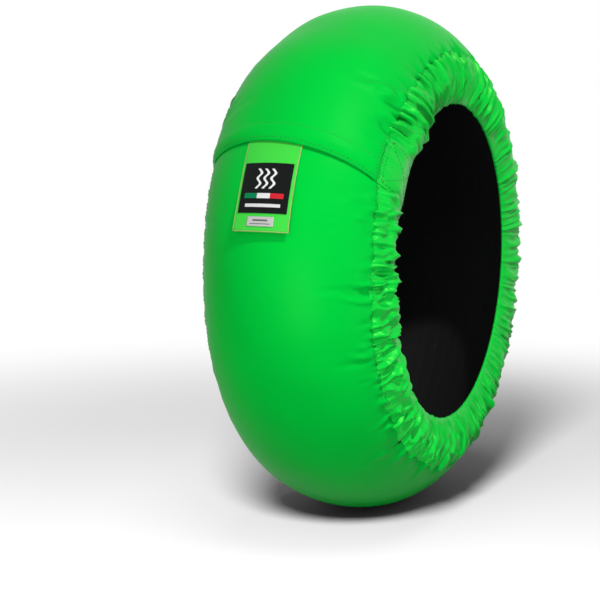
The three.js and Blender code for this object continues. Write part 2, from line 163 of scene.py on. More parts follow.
class WarmerColours(bpy.types.PropertyGroup):
    """Colours of the cloths, thread and print."""
    cover: colour_property("Cover", "Satin nylon of the cover", (0.0, 0.58, 0.045))
    label: colour_property("Label", "Cloth of the label", (0.05, 0.66, 0.055))
    piping: colour_property("Piping", "Edge binding of the label", (0.30, 0.52, 0.12))
    thread: colour_property("Thread", "Thread of the seams", (0.0, 0.24, 0.025))
    lining: colour_property("Lining", "Heat resistant lining", (0.004, 0.004, 0.0045))
    felt: colour_property("Felt", "Insulation felt", (0.66, 0.63, 0.56))
    elastic: colour_property("Elastic", "Woven elastic", (0.015, 0.015, 0.017))
    tape: colour_property("Tape", "Hook and loop tape", (0.0, 0.32, 0.04))
    field: colour_property("Field", "Dark field of the label", (0.003, 0.004, 0.004))
    tag: colour_property("Tag", "Small woven tag", (0.50, 0.51, 0.49))


# Shader maths

class Socket:
    """One value of a material, so that maths on it reads as an expression."""

    def __init__(self, finish, link):
        self.finish = finish
        self.link = link

    def maths(self, operation, *others):
        values = dict(enumerate((self, *others)))
        return self.finish.node("ShaderNodeMath", {"operation": operation}, values)

    def __add__(self, other):
        return self.maths("ADD", other)

    def __radd__(self, other):
        return self.maths("ADD", other)

    def __sub__(self, other):
        return self.maths("SUBTRACT", other)

    def __rsub__(self, other):
        return self.finish.node("ShaderNodeMath", {"operation": "SUBTRACT"}, {0: other, 1: self})

    def __mul__(self, other):
        return self.maths("MULTIPLY", other)

    def __rmul__(self, other):
        return self.maths("MULTIPLY", other)

    def __lt__(self, other):
        return self.maths("LESS_THAN", other)

    def __gt__(self, other):
        return self.maths("GREATER_THAN", other)

    def __abs__(self):
        return self.maths("ABSOLUTE")

    def sine(self):
        return self.maths("SINE")


class Finish:
    """A material with one Principled shader."""

    def __init__(self, name, **plain):
        self.material = bpy.data.materials.new(name)
        self.material.use_nodes = True
        self.tree = self.material.node_tree
        self.shader = self.tree.nodes["Principled BSDF"]
        for socket, value in plain.items():
            self.shader.inputs[socket.replace("_", " ")].default_value = value

    def node(self, kind, settings=None, inputs=None, output=0):
        made = self.tree.nodes.new(kind)
        for name, value in (settings or {}).items():
            setattr(made, name, value)
        for name, value in (inputs or {}).items():
            self.feed(made.inputs[name], value)
        return Socket(self, made.outputs[output])

    def feed(self, target, value):
        if isinstance(value, Socket):
            self.tree.links.new(value.link, target)
        else:
            target.default_value = value

    def to_shader(self, **links):
        for name, value in links.items():
            self.feed(self.shader.inputs[name.replace("_", " ")], value)
        return self

    def shader_socket(self):
        return Socket(self, self.shader.outputs[0])

    def cloth_place(self):
        """The two distances along the cloth, in metres."""
        where = self.node("ShaderNodeUVMap", {"uv_map": "Cloth"})
        split = self.node("ShaderNodeSeparateXYZ", {}, {0: where})
        return split, Socket(self, split.link.node.outputs[1]), where

    def object_place(self):
        return self.node("ShaderNodeTexCoord", output="Object")

    def grain(self, place, scale, detail=2.0, roughness=0.5):
        """Noise between 0 and 1 at so many lumps a metre."""
        sizes = {"Vector": place, "Scale": scale, "Detail": detail, "Roughness": roughness}
        return self.node("ShaderNodeTexNoise", {}, sizes)

    def mix(self, factor, first, second):
        sides = {0: factor, 6: rgba(first), 7: rgba(second)}
        return self.node("ShaderNodeMix", {"data_type": "RGBA"}, sides, 2)

    def bump(self, height, distance, strength=1.0):
        settings = {"Strength": strength, "Distance": distance, "Height": height}
        return self.node("ShaderNodeBump", {}, settings)


def rgba(colour):
    if isinstance(colour, Socket):
        return colour
    return (*colour[:3], 1.0)


def shade(colour, share):
    """A colour made lighter or darker."""
    return tuple(min(1.0, part * share) for part in colour[:3])


def woven(name, colour, roughness, thread=0.8 * MM, depth=0.05 * MM, **plain):
    """Plain woven cloth: crossing threads, slight streaks and a little change of colour."""
    finish = Finish(name, **plain)
    along, across, where = finish.cloth_place()
    turn = 2 * math.pi / thread
    weave = (along * turn).sine() * (across * turn).sine()
    clouds = finish.grain(finish.object_place(), 9.0, 3.0)
    streaks = finish.grain(where, 420.0, 1.0)
    tone = finish.mix(clouds, shade(colour, 0.90), shade(colour, 1.08))
    height = weave * 0.5 + streaks * 0.8
    finish.to_shader(
        Base_Color=tone,
        Roughness=roughness + clouds * 0.10 - 0.05,
        Normal=finish.bump(height, depth, 0.6),
    )
    return finish.material


def fuzzy(name, colour, roughness=0.9, size=900.0, depth=0.3 * MM):
    """Felt, and the pile of hook and loop tape."""
    finish = Finish(name, Roughness=roughness)
    place = finish.object_place()
    pile = finish.grain(place, size, 3.0, 0.7)
    tone = finish.mix(pile, shade(colour, 0.7), shade(colour, 1.25))
    finish.to_shader(Base_Color=tone, Normal=finish.bump(pile, depth, 0.8))
    return finish.material


def moulded(name, colour, roughness, metal=0.0, scale=260.0):
    """Moulded rubber, plastic or plain metal with fine texture."""
    finish = Finish(name, Metallic=metal)
    place = finish.object_place()
    grit = finish.grain(place, scale, 3.0)
    tone = finish.mix(grit, shade(colour, 0.85), shade(colour, 1.15))
    finish.to_shader(
        Base_Color=tone,
        Roughness=roughness + grit * 0.12 - 0.06,
        Normal=finish.bump(grit, 0.1 * MM, 0.4),
    )
    return finish.material


# Shape of the cover

def sizes():
    return bpy.context.scene.warmer_sizes


def colours():
    return bpy.context.scene.warmer_colours


def ease(value, low=0.0, high=1.0):
    """0 below low, 1 above high, and a smooth step between."""
    share = min(1.0, max(0.0, (value - low) / (high - low)))
    return share * share * (3.0 - 2.0 * share)


def hill(value, centre, width):
    return math.exp(-((value - centre) / width) ** 2)


def rough(x, y=0.0, z=0.0):
    return noise.noise(Vector((x, y, z)))


def flap_edge():
    return sizes().flap_edge


def inner_end():
    """The angle at which the band's tucked end stops."""
    return sizes().flap_edge + FULL_TURN + OVERLAP


def on_wheel(angle, radius, across):
    turn = math.radians(angle)
    return Vector((-radius * math.cos(turn), across, radius * math.sin(turn)))


def section(turn):
    """Radius, distance across and outward direction of the cover's section, at an angle from its crown."""
    s = sizes()
    rise = s.radius - s.belly_radius
    out = Vector((math.cos(turn) / rise, math.sin(turn) / s.half_width)).normalized()
    return s.belly_radius + rise * math.cos(turn), s.half_width * math.sin(turn), out


def lift(angle, across=-1.0):
    """How far the flap stands off the layer under it. Its edge comes down, apart from over the label."""
    label = hill(across, 0.08, 0.36)
    edge = EDGE_LIFT + LABEL_LIFT * label
    held = edge + (FLAP_LIFT - edge) * ease(angle - flap_edge(), 0.0, 2.6)
    return held * (1.0 - ease(angle - flap_edge(), LIFT_HOLDS, LIFT_ENDS))


def loose(angle):
    """1 where the curtain is gathered, and 0 at its flat closure panel."""
    last = flap_edge() + FULL_TURN
    return ease(angle, flap_edge() + 9.5, flap_edge() + 13.5) * ease(last - angle, 1.5, 5.5)


def phase_of(angle, place, side):
    """Where an angle lies in the run of folds, in half turns of a wave."""
    drift = 5.0 * rough(angle * 0.10, side * 4.0) + 1.1 * rough(angle * 0.40, place * 0.30, side * 9.0)
    return math.radians(angle) * 0.5 * sizes().pleats + drift


def fold(phase):
    """A narrow crest between two broad valleys, from 0 to 1."""
    return math.exp(-2.6 * math.sin(phase) ** 2)


def ridge(x, y, z):
    """Sharp crests that wander through a rough field, from 0 to 1."""
    return max(0.0, 1.0 - 3.2 * abs(rough(x, y, z)))


def puckers(angle, from_seam, side):
    """Short folds where the seam draws the band together."""
    lean = angle + 10.0 * from_seam * rough(angle * 0.10, side * 6.0)
    phase = phase_of(lean, SEAM_ROW, side)
    tall = max(0.0, 0.55 + 1.7 * rough(angle * 0.21, side * 7.0))
    crease = ridge(lean * 0.28, from_seam * 3.0, side * 17.0)
    held = (1.0 if side < 0 else RIGHT_PUCKERS) * (1.0 + 0.9 * hill(angle, flap_edge() + FOLDS_ABOVE, 7.0))
    held *= 1.0 - 0.5 * hill(angle, FAR_SIDE, FAR_WIDTH)
    folds = 0.45 * fold(0.5 * phase) + 0.45 * fold(phase) - 0.45
    return held * (tall * folds + 0.55 * (crease - 0.3))


def seam_shift(angle):
    """How far a seam lies nearer to the tread beside the closure, where the band has two layers."""
    first = flap_edge() + SHIFT_CENTRE
    beside = hill(angle, first, SHIFT_WIDTH) + hill(angle, first + FULL_TURN, SHIFT_WIDTH)
    return SEAM_SHIFT * min(1.0, beside)


def seam_at(angle, side):
    """The angle of a seam round the tyre section, which wanders a little."""
    wander = 0.022 * rough(angle * 0.16, side * 3.0, 8.0) + 0.016 * rough(angle * 0.7, side * 3.0, 18.0)
    return sizes().seam_angle - seam_shift(angle) + wander


def relief(angle, across):
    """Height of the band's folds. across runs from -1 at the left seam to 1 at the right one."""
    side = 1.0 if across > 0 else -1.0
    from_seam = 1.0 - abs(across)
    reach = 0.07 + 0.24 * max(0.0, rough(angle * 0.35, side * 8.0, 2.0))
    reach += 0.65 * max(0.0, rough(angle * 0.13, side * 8.0, 2.0) - 0.08)
    reach += 0.12 * hill(angle, flap_edge() + FOLDS_ABOVE, 7.0)
    flat = ease(angle, flap_edge() + 2.0, flap_edge() + 14.0) * ease(inner_end() - angle, 16.0, 22.0)
    folds = sizes().pucker_height * puckers(angle, from_seam, side) * math.exp(-(from_seam / reach) ** 2)
    swell = 2.4 * MM * rough(angle * 0.032, across * 0.9, 5.0) * (1.0 - 0.6 * abs(across))
    swell += 0.5 * MM * rough(angle * 0.11, across * 2.6, 15.0)
    streaks = hill(angle, flap_edge() + FULL_TURN - 14.0, 13.0) * hill(across, -0.5, 0.35)
    swell += 0.5 * MM * streaks * rough(angle * 0.9, across * 1.6, 25.0)
    drawn = -0.7 * MM * math.exp(-(from_seam / 0.04) ** 2)
    ends = ease(inner_end() - angle, 1.0, 24.0)
    hem = 0.8 * MM * (1.0 - ease(angle - flap_edge(), HEM_SPAN - 0.25, HEM_SPAN + 0.25))
    groove = -0.35 * MM * hill(angle - flap_edge(), HEM_SPAN, 0.25)
    return folds * flat + swell * ends + drawn * ends + hem + groove


def edge_shift(angle, across):
    """Degrees by which the flap's edge lies above its even line. The rest of the band isn't shifted."""
    bent = EDGE_RISE + EDGE_TILT * across + EDGE_BOW * across * across
    return bent * (1.0 - ease(angle - flap_edge(), 0.0, 14.0))


def on_band(angle, across):
    """A place on the band's outer face."""
    radius, y, out = section(seam_at(angle, across) * across)
    above = relief(angle, across) + lift(angle, across)
    angle += edge_shift(angle, across)
    return on_wheel(angle, radius + out.x * above, y + out.y * above)


def smooth_layer(angle, across, depth):
    """A place in a layer under the band, clear of its folds."""
    radius, y, out = section(sizes().seam_angle * across)
    return on_wheel(angle, radius - out.x * depth, y - out.y * depth)


def curtain_rows(seam):
    """Radius, distance across, pleat share and band share at each row of a curtain's section."""
    opening = sizes().opening_radius
    shoulder = sizes().seam_angle + 0.29
    slope = shoulder - seam
    rows = []
    for turn, pleat_share, band_share, depth in (
            (seam - 0.05, 0.0, 1.0, 1.7),
            (seam, 0.22, 1.0, 0.6),
            (seam + 0.30 * slope, 0.66, 0.7, 0.2),
            (seam + 0.65 * slope, 0.94, 0.3, 0.0),
            (shoulder, 1.0, 0.0, 0.0)):
        radius, y, out = section(turn)
        rows.append((radius - out.x * depth * MM, y - out.y * depth * MM, pleat_share, band_share))
    for outward, y, pleat_share in (
            (0.0160, 0.1184, 0.85),
            (0.0055, 0.1163, 0.46),
            (-0.0008, 0.1138, 0.15),
            (0.0030, 0.1102, 0.10),
            (0.0120, 0.1122, 0.08),
            (0.0240, 0.1150, 0.08)):
        rows.append((opening + outward, y, pleat_share, 0.0))
    return rows


def along_rows(rows, place, column):
    """A smooth value between the rows, by a Catmull and Rom curve."""
    last = len(rows) - 1
    index = min(int(place), last - 1)
    share = place - index
    a, b, c, d = (rows[min(last, max(0, index + step))][column] for step in (-1, 0, 1, 2))
    bend = (2 * a - 5 * b + 4 * c - d) * share + (3 * b - a - 3 * c + d) * share * share
    return b + 0.5 * share * (c - a + bend)


def pleat(angle, place, side):
    """Height of the gathers at an angle and at a place down the curtain, from 0 to about 1."""
    phase = phase_of(angle, place, side) + 0.9 * rough(angle * 0.22, place * 0.5, side * 2.0)
    tall = min(1.2, max(0.15, 0.70 + 1.2 * rough(angle * 0.24, place * 0.12, side * 7.0)))
    bold = hill(angle, flap_edge() + FOLDS_ABOVE, 8.0)
    large_share = min(0.6, max(0.0, 0.25 + 1.5 * rough(angle * 0.12, side * 21.0)))
    broad = fold(0.5 * phase) * (0.9 * bold + large_share)
    narrow = 0.62 * fold(phase) * (1.0 - 0.6 * bold)
    crumpled = CRUMPLE_LEAST + (1.0 - CRUMPLE_LEAST) * hill(angle, flap_edge() + FULL_TURN - 50.0, 60.0)
    large = ridge(angle * 0.17 + place * 0.10, place * 0.26, side * 30.0)
    small = ridge(angle * 0.40 - place * 0.25, place * 0.50 + 5.0, side * 60.0)
    straight = tall * (broad + narrow) * (1.15 - 0.75 * crumpled + 0.35 * hill(angle, 90.0, 35.0))
    return straight + crumpled * (0.95 * large + 0.50 * small) * (1.0 - 0.6 * ease(place, 4.5, HEM_ROW))


def crowding(angle):
    """Folds stand higher above the flat closure panel and lower on the far side of the wheel."""
    above = hill(angle, flap_edge() + 16.5, 7.0)
    far = hill(angle, FAR_SIDE, FAR_WIDTH)
    return 1.0 + 0.7 * above - 0.30 * far


def opening_pull(angle):
    """How much wider the opening is at an angle."""
    return OPENING_PULL * hill(angle, flap_edge() + PULL_CENTRE, PULL_WIDTH)


ROWS = {}


def rows_at(angle, side):
    """The curtain's rows at an angle, worked out once."""
    key = (round(angle, 4), side)
    if key not in ROWS:
        ROWS[key] = curtain_rows(seam_at(angle, side))
    return ROWS[key]


def on_curtain(angle, place, side, height=0.0, gathered=1.0):
    """A place on a curtain's outer face: place runs from the lap under the band to behind the hem."""
    rows = rows_at(angle, side)
    radius = along_rows(rows, place, 0)
    y = along_rows(rows, place, 1)
    ahead = min(place + ROW_STEP, LAST_ROW)
    behind = ahead - ROW_STEP
    step = Vector((
        along_rows(rows, ahead, 0) - along_rows(rows, behind, 0),
        along_rows(rows, ahead, 1) - along_rows(rows, behind, 1)))
    out = Vector((step.y, -step.x)).normalized()
    gathers = pleat(angle, place, side) * loose(angle) * crowding(angle) * gathered
    share = along_rows(rows, place, 2)
    if side > 0:
        share *= RIGHT_SHARE + (1.0 - RIGHT_SHARE) * ease(place, 3.0, 5.5)
    band = along_rows(rows, place, 3)
    share *= 1.0 - 0.45 * hill(angle, flap_edge() + FOLDS_ABOVE, 12.0) * ease(place, 5.0, HEM_ROW)
    folds = relief(angle, side) * band + sizes().pleat_height * gathers * share
    above = height + lift(angle, side) + folds
    if place > HEM_ROW:
        above *= 1.0 - 2.0 * ease(place, HEM_ROW, HEM_ROW + 1.0)
    uneven = sizes().pleat_height * (min(gathers, SCALLOP_MOST) - 0.4) * hill(place, HEM_ROW, 1.1)
    scallop = SCALLOP_SHARE * uneven * loose(angle) - opening_pull(angle) * ease(place, 3.0, HEM_ROW)
    angle += edge_shift(angle, side) * (1.0 + ROW_SLANT * max(0.0, min(place, HEM_ROW) - 1.0))
    return on_wheel(angle, radius + out.x * above - scallop, side * (y + out.y * above))


# Making pieces

def finished(name, shape, finish):
    """Turns a shape into an object that rides on the cover."""
    mesh = bpy.data.meshes.new(name)
    for face in shape.faces:
        face.smooth = True
    shape.to_mesh(mesh)
    shape.free()
    mesh.materials.append(finish)
    made = bpy.data.objects.new(name, mesh)
    bpy.context.scene.collection.objects.link(made)
    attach(made, BODY)
    return made


def bent_grid(columns, rows, place, size):
    """A grid bent into shape by place(along, across), both from 0 to 1, with its flat size as its map."""
    shape = bmesh.new()
    bmesh.ops.create_grid(shape, x_segments=columns, y_segments=rows, size=0.5)
    cloth = shape.loops.layers.uv.new("Cloth")
    for face in shape.faces:
        for corner in face.loops:
            x, y = corner.vert.co.x + 0.5, corner.vert.co.y + 0.5
            corner[cloth].uv = (x * size[0], y * size[1])
    for point in shape.verts:
        point.co = place(point.co.x + 0.5, point.co.y + 0.5)
    shape.normal_update()
    return shape


def thicken(piece, thickness):
    """Gives a sheet its thickness, inward from its outer face."""
    wall = piece.modifiers.new("Thickness", "SOLIDIFY")
    wall.thickness = thickness
    wall.offset = -1.0


def tube(shape, path, radius, sides=8):
    """A round cord through the points of a path, closed at both ends."""
    turned = []
    for index, point in enumerate(path):
        ahead = path[min(index + 1, len(path) - 1)] - path[max(index - 1, 0)]
        turned.append(Matrix.Translation(point) @ ahead.to_track_quat("Z", "Y").to_matrix().to_4x4())
    start = bmesh.ops.create_circle(
        shape, cap_ends=True, segments=sides, radius=radius, matrix=turned[0])
    ring = start["verts"]
    face = next(f for f in ring[0].link_faces)
    for before, after in zip(turned, turned[1:]):
        grown = bmesh.ops.extrude_discrete_faces(shape, faces=[face])
        face = grown["faces"][0]
        bmesh.ops.transform(shape, matrix=after @ before.inverted(), verts=face.verts)


def sew(shape, surface, start, end):
    """A row of stitches between two places of a surface that is given by two numbers."""
    start, end = Vector(start), Vector(end)
    samples = [surface(*start.lerp(end, k / 40.0)) for k in range(41)]
    length = sum((b - a).length for a, b in zip(samples, samples[1:]))
    count = max(1, round(length / STITCH_PITCH))
    half = 0.5 * STITCH_LENGTH / STITCH_PITCH
    for index in range(count):
        low = surface(*start.lerp(end, (index + 0.5 - half) / count))
        high = surface(*start.lerp(end, (index + 0.5 + half) / count))
        centre = start.lerp(end, (index + 0.5) / count)
        here = surface(*centre)
        other = surface(centre.x + 0.2, centre.y) - here
        third = surface(centre.x, centre.y + 0.01) - here
        out = other.cross(third).normalized()
        if out.dot(here) < 0 and abs(out.y) < 0.9:
            out.negate()
        along = (high - low).normalized()
        beside = out.cross(along).normalized()
        width = 0.5 * STITCH_WIDTH
        matrix = Matrix((
            (*(along * STITCH_LENGTH * 0.5), 0.0), (*(beside * width), 0.0),
            (*(out * width), 0.0), (0.0, 0.0, 0.0, 1.0))).transposed()
        matrix.translation = (low + high) * 0.5 + out * 0.1 * MM
        bmesh.ops.create_uvsphere(shape, u_segments=6, v_segments=4, radius=1.0, matrix=matrix)


def arc_length(surface, start, end):
    start, end = Vector(start), Vector(end)
    samples = [surface(*start.lerp(end, k / 60.0)) for k in range(61)]
    return sum((b - a).length for a, b in zip(samples, samples[1:]))


class WarmerStep(bpy.types.Operator):
    """What the operators of the tyre warmer share."""
    bl_options = {"REGISTER", "UNDO"}


class OBJECT_OT_warmer_band(WarmerStep):
    """Adds the outer band with its flap, puckers and hem"""
    bl_idname = "object.warmer_band"
    bl_label = "Outer Band"

    def execute(self, context):
        first = flap_edge()
        span = inner_end() - first
        flat = (2.14, 2.0 * arc_length(on_band, (90.0, 0.0), (90.0, 1.0)))

        def place(along, across):
            return on_band(first + span * along, 2.0 * across - 1.0)
        shape = bent_grid(560, 84, place, flat)
        cover = woven(
            "SatinCover", colours().cover, 0.42, Specular_IOR_Level=0.07,
            Specular_Tint=(0.3, 1.0, 0.3, 1.0))
        band = finished("cover_band", shape, cover)
        thicken(band, BAND_THICKNESS)
        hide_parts("outer_shell")
        return {"FINISHED"}


class OBJECT_OT_warmer_curtains(WarmerStep):
    """Adds the two gathered curtains with their turned hems"""
    bl_idname = "object.warmer_curtains"
    bl_label = "Side Curtains"

    def execute(self, context):
        first = flap_edge()
        span = inner_end() - first
        # Painted light: the curtains are the band's own satin, painted 1.08 times lighter to stand in for
        # the extra light they catch
        cover = woven(
            "GatheredCoverPaintedLight", shade(colours().cover, 1.08), 0.32, Specular_IOR_Level=0.38,
            Specular_Tint=(0.3, 1.0, 0.15, 1.0))
        for name, side in (("left_curtain", -1.0), ("right_curtain", 1.0)):
            flat = (1.95, 0.112)

            def place(along, across, side=side):
                down = across if side > 0 else 1.0 - across
                return on_curtain(first + span * along, down * LAST_ROW, side)
            shape = bent_grid(1250, 34, place, flat)
            curtain = finished("cover_" + name, shape, cover)
            thicken(curtain, CURTAIN_THICKNESS)
            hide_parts(name)
        return {"FINISHED"}


class OBJECT_OT_warmer_inside(WarmerStep):
    """Adds the lining, the felt, the elastics and the closure tapes"""
    bl_idname = "object.warmer_inside"
    bl_label = "Inside Layers"

    def layer(self, name, node, slot, finish, angles, shares, depth, thickness, grid):
        start, end = angles
        low, high = shares
        flat = (math.radians(end - start) * 0.31, 0.5 * (high - low) * 0.30)

        def place(along, across):
            angle = start + (end - start) * along
            share = low + (high - low) * across
            return smooth_layer(angle, share, depth(angle, share))
        piece = finished(name, bent_grid(*grid, place, flat), finish)
        thicken(piece, thickness)
        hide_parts(node)
        return piece, flat

    def execute(self, context):
        paint = colours()
        start = flap_edge() + OVERLAP + 1.5
        end = inner_end()

        def quilt(angle, share):
            fall = ease(1.0 - abs(share), 0.0, 0.25)
            lanes = 0.6 * MM * abs(math.cos(share * 8.0 * math.pi)) * fall
            ties = 0.5 * MM * abs(math.sin(math.radians(angle) * 30.0)) * fall
            return LINING_EDGE_DEPTH + (LINING_DEPTH - LINING_EDGE_DEPTH) * fall + lanes + ties

        lining = woven("Lining", paint.lining, 0.72, 1.2 * MM, 0.12 * MM, Specular_IOR_Level=0.12)
        piece, flat = self.layer(
            "black_lining", "inner_lining", "lining_fabric", lining, (start, end), (-1.0, 1.0), quilt,
            LINING_THICKNESS, (480, 64))

        felt = fuzzy("InsulationFelt", paint.felt)
        piece, flat = self.layer(
            "felt_layer", "insulation_felt", "felt", felt, (start, end), (-0.75, 0.75),
            lambda angle, share: FELT_DEPTH + 1.2 * MM, FELT_THICKNESS - 1.2 * MM, (240, 24))
        self.elastics(paint)
        self.tapes(paint)
        return {"FINISHED"}

    def elastics(self, paint):
        elastic = woven("WovenElastic", paint.elastic, 0.7, 1.6 * MM, 0.2 * MM)
        first = flap_edge() + 1.6
        span = inner_end() - first
        opening = sizes().opening_radius
        for name, side in (("left_elastic", -1.0), ("right_elastic", 1.0)):
            flat = (1.30, 0.020)

            def place(along, across, side=side):
                angle = first + span * along
                outward = 0.0035 + 0.020 * (1.0 - across if side > 0 else across)
                ribs = 0.12 * MM * math.sin(math.radians(angle) * 400.0)
                y = 0.1133 + 0.192 * outward + ribs
                radius = opening + outward + opening_pull(angle)
                return on_wheel(angle, radius, side * (y + lift(angle, side)))
            piece = finished("hem_" + name, bent_grid(700, 8, place, flat), elastic)
            thicken(piece, ELASTIC_THICKNESS)
            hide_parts(name)

    def tapes(self, paint):
        pile = fuzzy("HookAndLoopTape", paint.tape, 0.85, 1400.0, 0.4 * MM)
        first = flap_edge()
        reach = 0.765
        hook = BAND_THICKNESS + LAYER_GAP - FLAP_LIFT
        loop = -LAYER_GAP - TAPE_THICKNESS
        for name, start, depth in (
                ("tread_hook_strip", first + 2.5, hook),
                ("tread_loop_strip", first + FULL_TURN + 2.5, loop)):
            piece, flat = self.layer(
                name.replace("strip", "tape"), name, "closure_tape", pile, (start, start + 12.4),
                (-reach, reach), lambda angle, share, depth=depth: depth, TAPE_THICKNESS, (40, 90))
        for side, hand in ((-1.0, "left"), (1.0, "right")):
            for kind, start, height in (
                    ("hook", first + 2.0, -CURTAIN_THICKNESS - 2.0 * LAYER_GAP),
                    ("loop", first + FULL_TURN + 2.0, LAYER_GAP + TAPE_THICKNESS)):
                flat = (0.052, 0.024)

                def place(along, across, side=side, start=start, height=height):
                    angle = start + 12.0 * along
                    down = across if side > 0 else 1.0 - across
                    return on_curtain(angle, 2.7 + 1.5 * down, side, height, 0.0)
                patch = finished(
                    hand + "_" + kind + "_tape", bent_grid(24, 14, place, flat), pile)
                thicken(patch, TAPE_THICKNESS)
                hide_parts(hand + "_" + kind + "_patch")


class OBJECT_OT_warmer_label(WarmerStep):
    """Adds the label that hangs out from under the flap"""
    bl_idname = "object.warmer_label"
    bl_label = "Label"

    left = -29.5 * MM
    right = 40.5 * MM
    top = 31.5
    bottom = 11.0
    thickness = 1.0 * MM

    def on_label(self, angle, y, height=0.0):
        """A place on the label's face, which stands off the band towards its free end."""
        share = max(0.0, (self.top - angle) / (self.top - self.bottom))
        off = LAYER_GAP + 5.0 * MM * share * share + 0.6 * MM * math.sin(share * 5.0 + y * 40.0) * share
        radius, across, out = section(math.asin(y / sizes().half_width))
        above = off + self.thickness + height
        return on_wheel(angle, radius + out.x * above, across + out.y * above)

    def patch(self, name, node, slot, finish, angles, widths, height, thickness, grid):
        """A flat piece on the label. Its map starts at its lower left corner, as it is seen."""
        low, high = angles
        near, far = widths
        flat = (math.radians(high - low) * sizes().radius, far - near)

        def place(along, across):
            angle = low + (high - low) * along
            return self.on_label(angle, near + (far - near) * across, height)
        piece = finished(name, bent_grid(*grid, place, flat), finish)
        thicken(piece, thickness)
        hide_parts(node)
        return piece

    def execute(self, context):
        paint = colours()
        cloth = woven("LabelCloth", paint.label, 0.5, 0.9 * MM, 0.08 * MM, Specular_IOR_Level=0.15)
        self.patch(
            "label_cloth", "label_tab", "label_fabric", cloth, (self.bottom, self.top),
            (self.left, self.right), 0.0, self.thickness, (60, 40))
        self.patch(
            "label_print", "label_field", "black_print", self.printed(paint), (14.7, 25.4),
            (self.left + 3.5 * MM, self.right - 3.5 * MM), 0.7 * MM, 0.4 * MM, (40, 40))
        middle = 0.5 * (self.left + self.right)
        self.patch(
            "label_size_tag", "label_tag", "grey_print", self.tagged(paint), (12.0, 14.0),
            (middle - 17.0 * MM, middle + 17.0 * MM), 0.7 * MM, 0.4 * MM, (12, 24))
        self.bind(paint)
        return {"FINISHED"}

    def printed(self, paint):
        """A dark field with three plain heat waves, a striped bar and a pale bar."""
        finish = Finish("LabelPrint", Roughness=0.5, Specular_IOR_Level=0.08)
        up, right, where = finish.cloth_place()
        tall, wide = math.radians(10.7) * sizes().radius, self.right - self.left - 7.0 * MM
        across = right - 0.5 * wide
        waves = None
        for centre in (-9.0, 0.0, 9.0):
            bend = (up * (2 * math.pi / (13.0 * MM))).sine() * (2.2 * MM)
            line = abs(across + centre * MM - bend) < 1.7 * MM
            waves = line if waves is None else waves + line
        waves = waves * (abs(up - tall * 0.68) < tall * 0.20)
        bar = (abs(up - tall * 0.34) < 3.1 * MM) * (abs(across) < wide * 0.40)
        pale = (abs(up - tall * 0.15) < 2.0 * MM) * (abs(across) < wide * 0.36)
        tone = finish.mix(waves, paint.field, (0.80, 0.80, 0.80))
        tone = finish.mix(bar, tone, (0.78, 0.78, 0.78))
        tone = finish.mix(bar * (across > wide * 0.40 / 3.0), tone, (0.0, 0.22, 0.08))
        tone = finish.mix(bar * (across < wide * -0.40 / 3.0), tone, (0.62, 0.02, 0.03))
        tone = finish.mix(pale, tone, (0.72, 0.72, 0.72))
        weave = (up * 9000.0).sine() * (right * 9000.0).sine()
        finish.to_shader(Base_Color=tone, Normal=finish.bump(weave, 0.04 * MM, 0.5))
        return finish.material

    def tagged(self, paint):
        """A woven tag with two plain bars."""
        finish = Finish("WovenTag", Roughness=0.5)
        up, right, where = finish.cloth_place()
        tall, wide = math.radians(2.0) * sizes().radius, 34.0 * MM
        across = right - 0.5 * wide
        line = (abs(up - tall * 0.62) < 1.1 * MM) * (abs(across) < wide * 0.28)
        foot = (abs(up - tall * 0.26) < 0.5 * MM) * (abs(across) < wide * 0.38)
        tone = finish.mix(line + foot, paint.tag, (0.09, 0.09, 0.09))
        weave = (up * 7000.0).sine() * (right * 7000.0).sine()
        finish.to_shader(Base_Color=tone, Normal=finish.bump(weave, 0.05 * MM, 0.5))
        return finish.material

    def bind(self, paint):
        """Piping along the sides and foot of the label."""
        steps = 40
        centre = -0.5 * self.thickness
        drop = self.top - self.bottom
        path = []
        for k in range(steps + 1):
            path.append(self.on_label(self.top - drop * k / steps, self.right, centre))
        for k in range(1, steps):
            y = self.right + (self.left - self.right) * k / steps
            path.append(self.on_label(self.bottom, y, centre))
        for k in range(steps + 1):
            path.append(self.on_label(self.bottom + drop * k / steps, self.left, centre))
        shape = bmesh.new()
        tube(shape, path, 0.8 * MM, 8)
        bmesh.ops.recalc_face_normals(shape, faces=shape.faces)
        thread = fuzzy("LabelPiping", paint.piping, 0.7, 900.0, 0.15 * MM)
        finished("label_piping", shape, thread)


class OBJECT_OT_warmer_stitching(WarmerStep):
    """Sews the seams, the flap's hem and the closure panels"""
    bl_idname = "object.warmer_stitching"
    bl_label = "Stitching"

    def execute(self, context):
        thread = fuzzy("SewingThread", colours().thread, 0.6, 2500.0, 0.1 * MM)
        first = flap_edge()
        for hand, side in (("left", -1.0), ("right", 1.0)):
            shape = bmesh.new()
            step = 8.0
            angle = first + 0.6
            while angle < inner_end() - OVERLAP - 0.5:
                reach = min(step, inner_end() - OVERLAP - angle)
                sew(shape, on_band, (angle, side * SEAM_STITCHES), (angle + reach, side * SEAM_STITCHES))
                angle += step
            finished(hand + "_seam_stitches", shape, thread)

            def panel(angle, place, side=side):
                return on_curtain(angle, place, side, 0.15 * MM)
            shape = bmesh.new()
            near, far = first + STITCH_INSET, first + PANEL_END
            upper, second, lower = 1.2, 1.55, 6.9
            for start, end in (
                    ((near, upper), (far, upper)),
                    ((near, second), (far, second)),
                    ((near, second), (near, lower)),
                    ((far, second), (far, lower)),
                    ((near, second), (far, lower)),
                    ((far, second), (near, lower))):
                sew(shape, panel, start, end)
            finished(hand + "_panel_stitches", shape, thread)
        shape = bmesh.new()
        for angle in (first + STITCH_INSET, first + HEM_SPAN):
            sew(shape, on_band, (angle, -0.95), (angle, 0.95))
        finished("flap_stitches", shape, thread)
        return {"FINISHED"}


